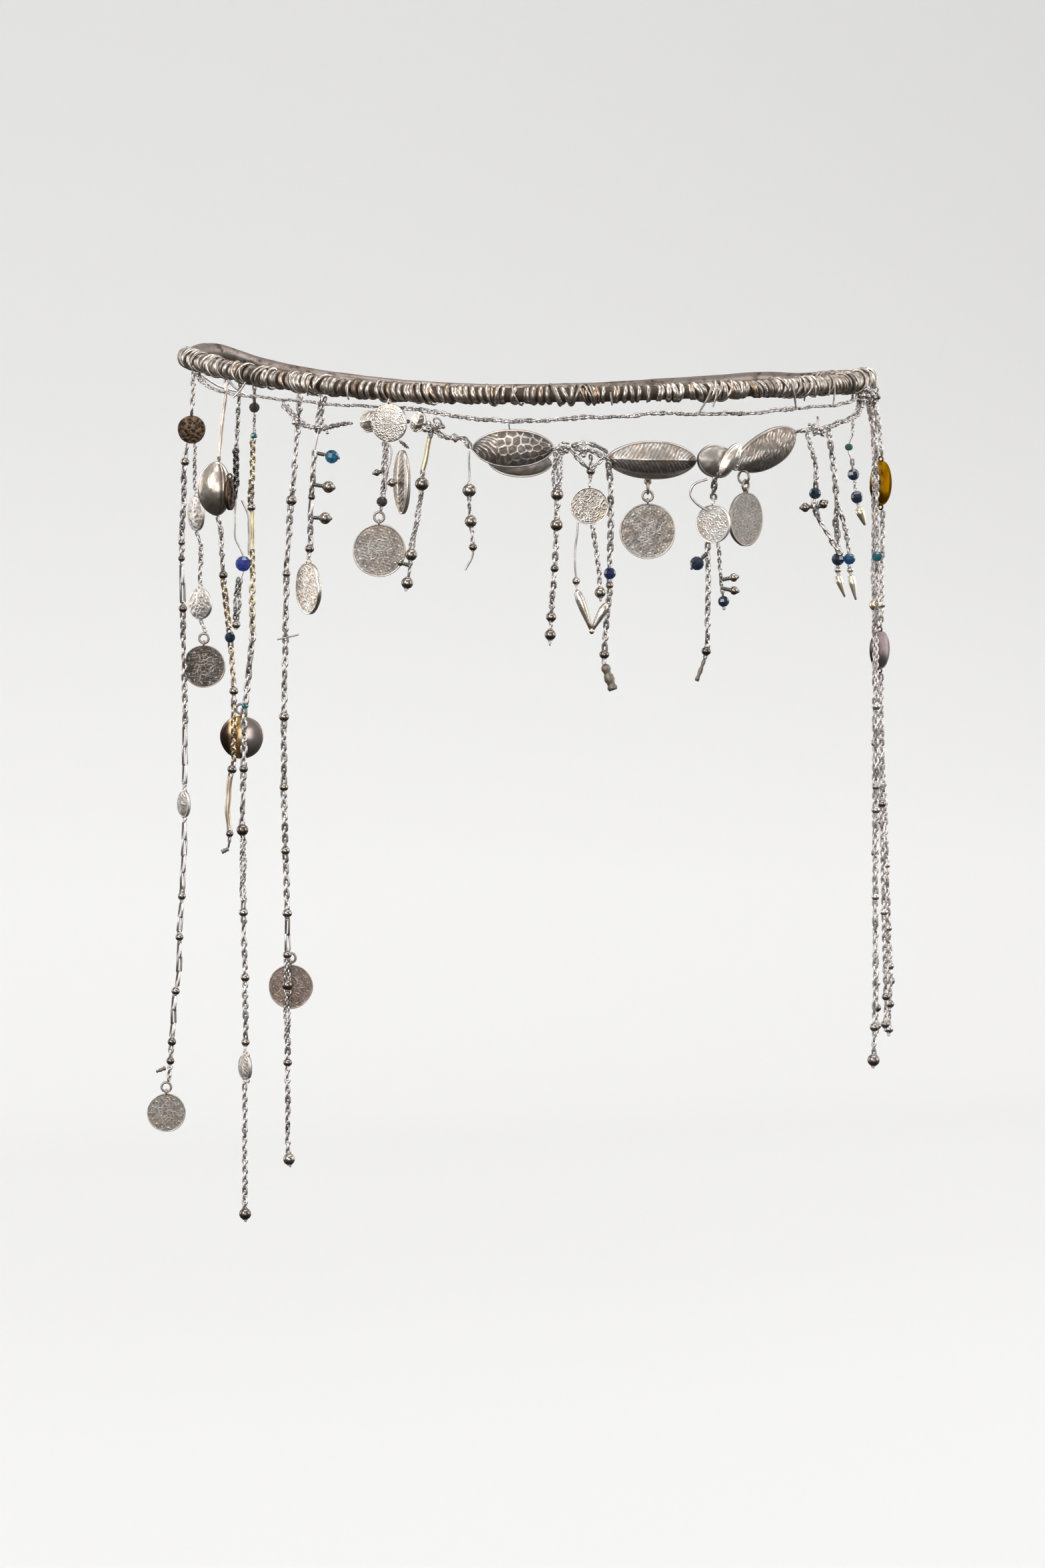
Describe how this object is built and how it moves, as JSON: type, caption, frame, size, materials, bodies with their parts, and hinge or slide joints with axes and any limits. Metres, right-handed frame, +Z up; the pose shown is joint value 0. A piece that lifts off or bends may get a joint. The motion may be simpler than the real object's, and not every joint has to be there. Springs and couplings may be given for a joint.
{
  "type": "coin headdress",
  "caption": "Oval wire-wound circlet worn on the head, hung with uneven silver chains that carry leaf plaques, pierced coins, beaten discs, small balls and glass beads.",
  "frame": {"origin": "middle of the circlet where it sits on the head, at the hoop's mean height", "axes": "+X to the right as seen from the front, -Y towards the front of the wearer's face, +Z up"},
  "size_m": [0.1831, 0.2059, 0.2079],
  "materials": {
    "hoop_metal": "dull aged copper brown",
    "silver_wire": "bright wound wire with dark grooves",
    "silver": "worn silver with dark recesses",
    "polished_silver": "polished silver",
    "dark_silver": "oxidised silver",
    "rose_gold": "worn rose gilding",
    "blue_glass": "ground dark blue glass",
    "amber_gold": "glossy gold brown",
    "purple_metal": "tarnished purple grey"
  },
  "bodies": {
    "root": {"hoop": "hoop_metal", "wire_wrap": "silver_wire", "upper_chain": "silver", "swag_chain": "silver", "chain_far_left": "silver", "chain_left_discs": "silver", "chain_rose": "rose_gold", "chain_blue_bead": "dark_silver", "chain_longest": "silver", "chain_long_left": "silver", "chain_side_pins": "silver", "chain_big_coin": "silver", "chain_gold_tube": "silver", "chain_leaf_1": "silver", "chain_triple": "silver", "chain_arrow": "silver", "chain_blue_drop": "silver", "chain_bar_end": "silver", "chain_leaf_3": "silver", "chain_spikes": "silver", "chain_cone": "silver", "chain_right_1": "silver", "chain_right_2": "silver", "chain_right_3": "silver", "chain_right_4": "silver", "chain_right_5": "silver", "leaf_1": "silver", "leaf_1_back": "dark_silver", "leaf_2": "dark_silver", "leaf_3": "silver", "grey_leaf": "dark_silver", "folded_leaf": "polished_silver", "hanging_leaf": "silver", "domed_leaf": "polished_silver", "swag_leaves": "dark_silver", "disc_far_left": "dark_silver", "hammered_discs": "silver", "coin_left": "dark_silver", "mirror_disc": "polished_silver", "edge_disc": "dark_silver", "marquise_coin": "silver", "filigree_disc": "silver", "big_coin": "dark_silver", "coin_a": "silver", "coin_b": "silver", "coin_c": "silver", "coin_d": "dark_silver", "coin_end": "dark_silver", "coin_behind": "dark_silver", "oval_plates": "silver", "amber_disc": "amber_gold", "purple_disc": "purple_metal", "jump_rings": "dark_silver", "metal_beads_left": "dark_silver", "metal_beads_front": "dark_silver", "metal_beads_right": "dark_silver", "glass_beads": "blue_glass", "side_pins": "silver_wire", "arrow_pendant": "polished_silver", "end_pieces": "silver"}
  },
  "joints": []
}
